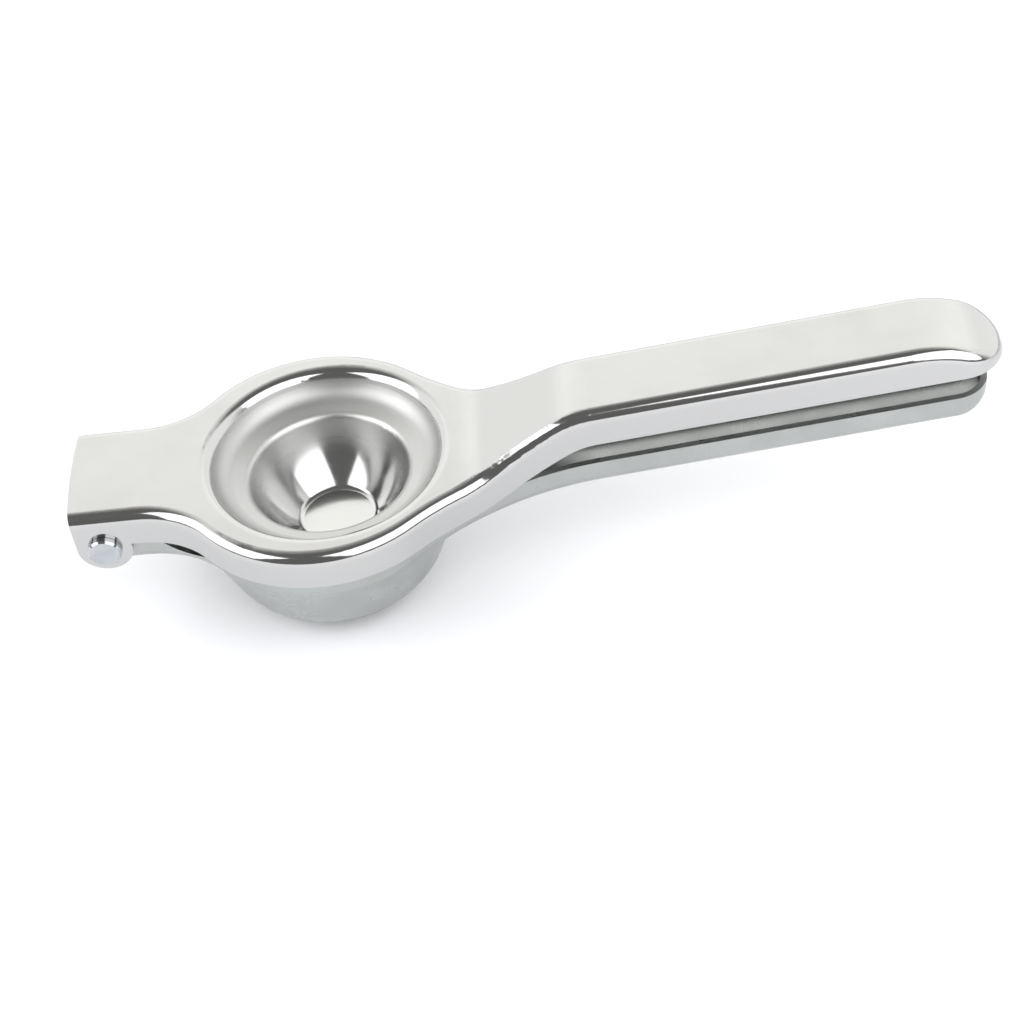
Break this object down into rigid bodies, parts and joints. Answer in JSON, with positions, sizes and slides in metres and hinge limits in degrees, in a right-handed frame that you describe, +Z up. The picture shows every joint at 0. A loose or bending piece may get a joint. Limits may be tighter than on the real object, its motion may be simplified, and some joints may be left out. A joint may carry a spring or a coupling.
{
  "type": "citrus squeezer",
  "caption": "Hand-held citrus squeezer: a press arm with a deep press cup closes on a strainer arm with a bowl, on a rivet hinge.",
  "frame": {"origin": "on the flat base of the strainer bowl, right under the centre of the press ring, arms closed", "axes": "+X from the hinge to the handle ends; +Z up, along the axis of the press ring; +Y completes the frame, with the rivet's flat head on -Y"},
  "size_m": [0.2143, 0.0684, 0.059],
  "materials": {
    "press_arm_steel": "satin faces, mirror-polished edges and cup dome",
    "strainer_arm_steel": "satin faces, polished edges",
    "rivet_steel": "polished"
  },
  "bodies": {
    "strainer": {"lower_arm": "strainer_arm_steel", "hinge_rivet": "rivet_steel"},
    "press": {"upper_arm": "press_arm_steel"}
  },
  "joints": [
    {"name": "arm_hinge", "type": "hinge", "parent": "strainer", "child": "press", "pos_m": [-0.0506, 0, 0.0285], "axis": [0, -1, 0], "range_deg": [0, 115]}
  ]
}
